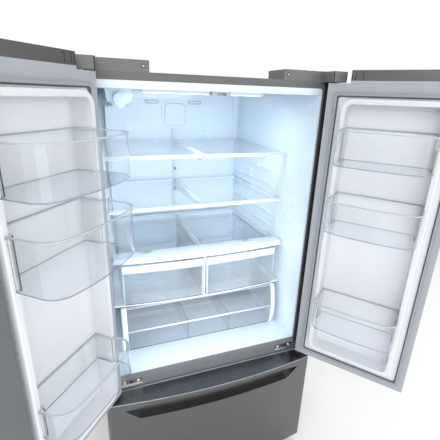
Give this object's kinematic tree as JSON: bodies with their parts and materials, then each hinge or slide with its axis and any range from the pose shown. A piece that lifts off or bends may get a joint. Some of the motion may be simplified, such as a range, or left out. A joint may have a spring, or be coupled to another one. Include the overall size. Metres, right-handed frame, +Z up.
{
  "type": "french door refrigerator",
  "caption": "Freestanding refrigerator with twin swinging upper doors holding clear bins, glass shelves, sliding crisper and pantry drawers, and a pull-out freezer drawer below.",
  "frame": {"origin": "on the floor, under the middle of the case's front face", "axes": "+Z up, -Y out of the front towards the user, +X to the right seen from the front"},
  "size_m": [1.4941, 1.1876, 1.776],
  "materials": {
    "case_paint": "fine orange-peel dark grey enamel",
    "door_steel": "dark brushed stainless with a clear coat",
    "galvanised": "zinc coated sheet",
    "foam": "rigid polyurethane foam",
    "liner_white": "vacuum formed liner, faint gloss",
    "door_liner_white": "vacuum formed door liner",
    "door_frame_grey": "satin grey door frame",
    "rail_grey": "satin grey enamel",
    "dark_plastic": "fine textured dark grey",
    "black_paint": "semi-gloss black",
    "aluminium_fins": "mill finish",
    "zinc_steel": "bright zinc plate",
    "grey_plastic": "satin mid grey",
    "flap_grey": "satin dark grey",
    "pearl_plastic": "pearl grey-white gloss",
    "lamp_lens": "frosted lamp lens",
    "shelf_plastic": "white gloss shelf frame",
    "shelf_glass": "clear tempered glass",
    "clear_drawer": "clear styrene plastic",
    "clear_bin": "clear styrene plastic",
    "gasket_rubber": "grey magnetic gasket"
  },
  "bodies": {
    "cabinet": {"cabinet_shell": "case_paint", "back_panel": "galvanised", "insulation_foam": "foam", "fresh_food_liner": "liner_white", "freezer_liner": "liner_white", "mullion_rail": "rail_grey", "base_pan": "galvanised", "toe_grille": "dark_plastic", "levelling_feet": "dark_plastic", "compressor": "black_paint", "condenser": "aluminium_fins", "machine_cover": "galvanised", "evaporator": "aluminium_fins", "freezer_air_cover": "liner_white", "rear_duct": "liner_white", "vent_cover": "pearl_plastic", "ceiling_light": "lamp_lens", "filter_housing": "liner_white", "mullion_guide": "grey_plastic", "shelf_ladder": "grey_plastic", "upper_left_shelf": "shelf_plastic", "upper_right_shelf": "shelf_plastic", "lower_left_shelf": "shelf_plastic", "lower_right_shelf": "shelf_plastic", "glass_panes": "shelf_glass", "crisper_rack": "shelf_plastic", "hinge_covers": "dark_plastic", "top_hinges": "zinc_steel", "centre_hinges": "zinc_steel", "slide_outer_members": "zinc_steel"},
    "left_door": {"left_door_skin": "door_steel", "left_door_core": "door_frame_grey", "left_door_liner": "door_liner_white", "left_door_gasket": "gasket_rubber"},
    "left_upper_bin_body": {"left_upper_bin": "clear_bin"},
    "left_middle_bin_body": {"left_middle_bin": "clear_bin"},
    "left_lower_bin_body": {"left_lower_bin": "clear_bin"},
    "right_door": {"right_door_skin": "door_steel", "right_door_core": "door_frame_grey", "right_door_liner": "door_liner_white", "right_door_gasket": "gasket_rubber"},
    "right_upper_bin_body": {"right_upper_bin": "clear_bin"},
    "right_middle_bin_body": {"right_middle_bin": "clear_bin"},
    "right_lower_bin_body": {"right_lower_bin": "clear_bin"},
    "flap": {"mullion_flap": "flap_grey"},
    "left_crisper_body": {"left_crisper": "clear_drawer"},
    "right_crisper_body": {"right_crisper": "clear_drawer"},
    "pantry": {"pantry_drawer": "clear_drawer"},
    "left_slider": {"left_humidity_slider": "grey_plastic"},
    "right_slider": {"right_humidity_slider": "grey_plastic"},
    "drawer": {"drawer_front": "door_steel", "drawer_inner_panel": "door_frame_grey", "drawer_gasket": "gasket_rubber", "freezer_basket": "clear_drawer"},
    "tray": {"freezer_tray": "clear_drawer"},
    "slide_middle": {"slide_middle_members": "zinc_steel"},
    "condenser_fan_body": {"condenser_fan": "dark_plastic"},
    "evaporator_fan_body": {"evaporator_fan": "dark_plastic"},
    "rollers": {"rear_rollers": "dark_plastic"},
    "filter": {"filter_cartridge": "liner_white"}
  },
  "joints": [
    {"name": "right_door_hinge", "type": "hinge", "parent": "cabinet", "child": "right_door", "pos_m": [0.429, -0.042, 1.728], "axis": [0, 0, 1], "range_deg": [-128, 2]},
    {"name": "left_door_hinge", "type": "hinge", "parent": "cabinet", "child": "left_door", "pos_m": [-0.429, -0.042, 1.728], "axis": [0, 0, -1], "range_deg": [-130, 2]},
    {"name": "flap_hinge", "type": "hinge", "parent": "left_door", "child": "flap", "pos_m": [-0.6359, -0.37881, 1.626], "axis": [0, 0, 1], "range_deg": [0, 90]},
    {"name": "left_crisper_slide", "type": "slide", "parent": "cabinet", "child": "left_crisper_body", "axis": [0, -1, 0], "range_m": [0, 0.29]},
    {"name": "right_crisper_slide", "type": "slide", "parent": "cabinet", "child": "right_crisper_body", "axis": [0, -1, 0], "range_m": [0, 0.29]},
    {"name": "pantry_slide", "type": "slide", "parent": "cabinet", "child": "pantry", "axis": [0, -1, 0], "range_m": [0, 0.24]},
    {"name": "left_humidity_slide", "type": "slide", "parent": "cabinet", "child": "left_slider", "axis": [1, 0, 0], "range_m": [-0.025, 0.025]},
    {"name": "right_humidity_slide", "type": "slide", "parent": "cabinet", "child": "right_slider", "axis": [1, 0, 0], "range_m": [-0.025, 0.025]},
    {"name": "freezer_drawer_slide", "type": "slide", "parent": "cabinet", "child": "drawer", "axis": [0, -1, 0], "range_m": [0, 0.4]},
    {"name": "slide_extension", "type": "slide", "parent": "cabinet", "child": "slide_middle", "axis": [0, -1, 0], "range_m": [0, 0.2]},
    {"name": "tray_slide", "type": "slide", "parent": "drawer", "child": "tray", "axis": [0, 1, 0], "range_m": [0, 0.15]},
    {"name": "condenser_fan_spin", "type": "hinge", "parent": "cabinet", "child": "condenser_fan_body", "pos_m": [-0.04, 0.64, 0.14], "axis": [1, 0, 0], "continuous": true},
    {"name": "evaporator_fan_spin", "type": "hinge", "parent": "cabinet", "child": "evaporator_fan_body", "pos_m": [0, 0.56, 0.43], "axis": [0, 1, 0], "continuous": true},
    {"name": "rear_roller_roll", "type": "hinge", "parent": "cabinet", "child": "rollers", "pos_m": [0, 0.69, 0.022], "axis": [1, 0, 0], "continuous": true},
    {"name": "filter_twist", "type": "hinge", "parent": "cabinet", "child": "filter", "pos_m": [-0.296, 0.5, 1.654], "axis": [0, 1, 0], "range_deg": [0, 90]},
    {"name": "left_upper_bin_lift", "type": "slide", "parent": "left_door", "child": "left_upper_bin_body", "axis": [0, 0, 1], "range_m": [0, 0.04]},
    {"name": "left_middle_bin_lift", "type": "slide", "parent": "left_door", "child": "left_middle_bin_body", "axis": [0, 0, 1], "range_m": [0, 0.04]},
    {"name": "left_lower_bin_lift", "type": "slide", "parent": "left_door", "child": "left_lower_bin_body", "axis": [0, 0, 1], "range_m": [0, 0.04]},
    {"name": "right_upper_bin_lift", "type": "slide", "parent": "right_door", "child": "right_upper_bin_body", "axis": [0, 0, 1], "range_m": [0, 0.04]},
    {"name": "right_middle_bin_lift", "type": "slide", "parent": "right_door", "child": "right_middle_bin_body", "axis": [0, 0, 1], "range_m": [0, 0.04]},
    {"name": "right_lower_bin_lift", "type": "slide", "parent": "right_door", "child": "right_lower_bin_body", "axis": [0, 0, 1], "range_m": [0, 0.04]}
  ],
  "couplings": [
    {"joint": "slide_extension", "follows": "freezer_drawer_slide", "ratio": 0.5}
  ]
}
